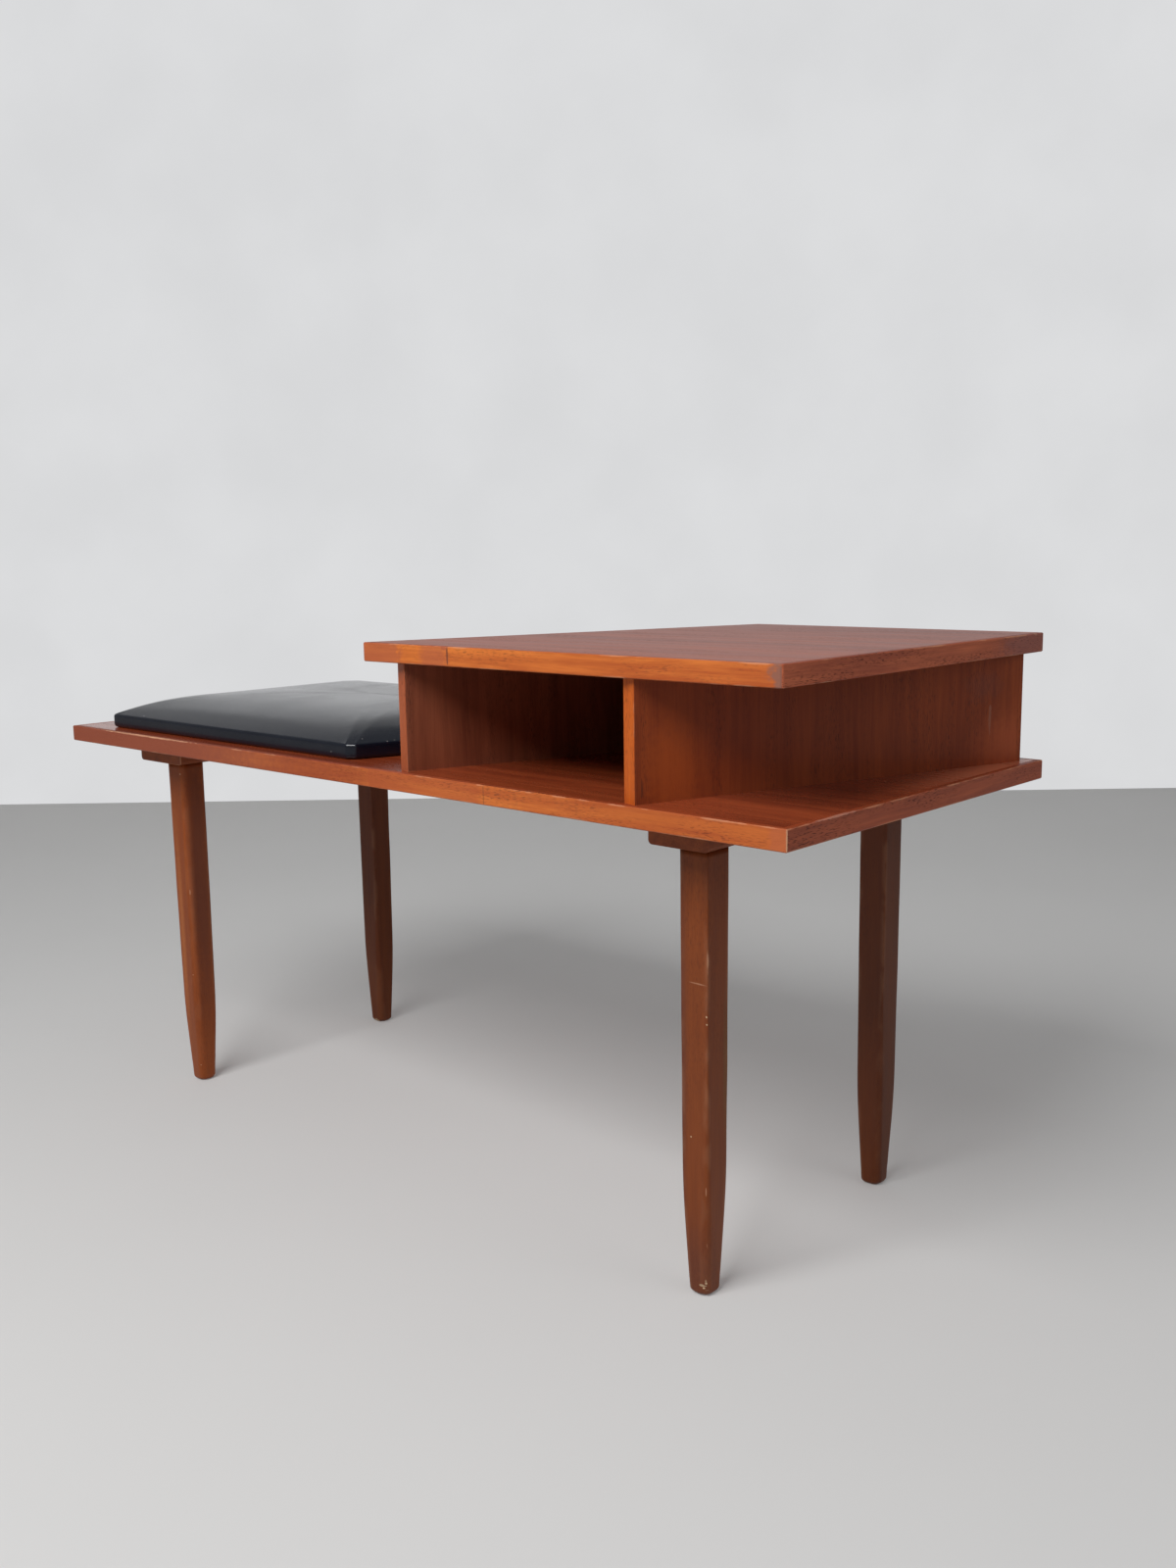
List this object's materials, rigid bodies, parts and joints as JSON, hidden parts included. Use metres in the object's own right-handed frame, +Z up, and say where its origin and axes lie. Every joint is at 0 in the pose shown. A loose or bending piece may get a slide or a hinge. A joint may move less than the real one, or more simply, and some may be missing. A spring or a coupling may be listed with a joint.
{
  "type": "telephone bench",
  "caption": "Low veneered bench on four tapered legs, with a black vinyl seat pad at one end and a slanted open compartment with its own top at the other.",
  "frame": {"origin": "on the floor under the middle of the bench's overall box", "axes": "+X along the bench to the compartment end, +Y to the back, +Z up"},
  "size_m": [1, 0.414, 0.537],
  "materials": {
    "teak_veneer": "oiled veneer, satin",
    "solid_teak_lipping": "oiled solid wood, satin",
    "board_core": "raw board",
    "plywood_tongue": "raw plywood",
    "teak_leg": "oiled solid wood, satin",
    "teak_crossbar": "stained wood, dull",
    "steel_screw": "plain steel",
    "black_vinyl": "smooth imitation leather, soft sheen",
    "pad_plywood": "raw plywood",
    "pad_foam": "open foam",
    "steel_staple": "plain steel"
  },
  "bodies": {
    "root": {"back_left_leg": "teak_leg", "back_panel": "teak_veneer", "back_panel_tongues": "plywood_tongue", "back_right_leg": "teak_leg", "base_back_lipping": "solid_teak_lipping", "base_bottom_veneer": "teak_veneer", "base_core": "board_core", "base_front_lipping": "solid_teak_lipping", "base_left_lipping": "solid_teak_lipping", "base_right_lipping": "solid_teak_lipping", "base_top_veneer": "teak_veneer", "front_left_leg": "teak_leg", "front_right_leg": "teak_leg", "left_crossbar": "teak_crossbar", "left_crossbar_screws": "steel_screw", "left_upright_back_lipping": "solid_teak_lipping", "left_upright_core": "board_core", "left_upright_front_lipping": "solid_teak_lipping", "left_upright_left_veneer": "teak_veneer", "left_upright_right_veneer": "teak_veneer", "left_upright_tongues": "plywood_tongue", "pad_board": "pad_plywood", "pad_cover": "black_vinyl", "pad_foam": "pad_foam", "pad_screws": "steel_screw", "pad_staples": "steel_staple", "right_crossbar": "teak_crossbar", "right_crossbar_screws": "steel_screw", "right_upright_back_lipping": "solid_teak_lipping", "right_upright_core": "board_core", "right_upright_front_lipping": "solid_teak_lipping", "right_upright_left_veneer": "teak_veneer", "right_upright_right_veneer": "teak_veneer", "right_upright_tongues": "plywood_tongue", "shelf_back_lipping": "solid_teak_lipping", "shelf_core": "board_core", "shelf_front_lipping": "solid_teak_lipping", "shelf_left_lipping": "solid_teak_lipping", "shelf_right_lipping": "solid_teak_lipping", "shelf_top_veneer": "teak_veneer", "shelf_under_veneer": "teak_veneer"}
  },
  "joints": []
}
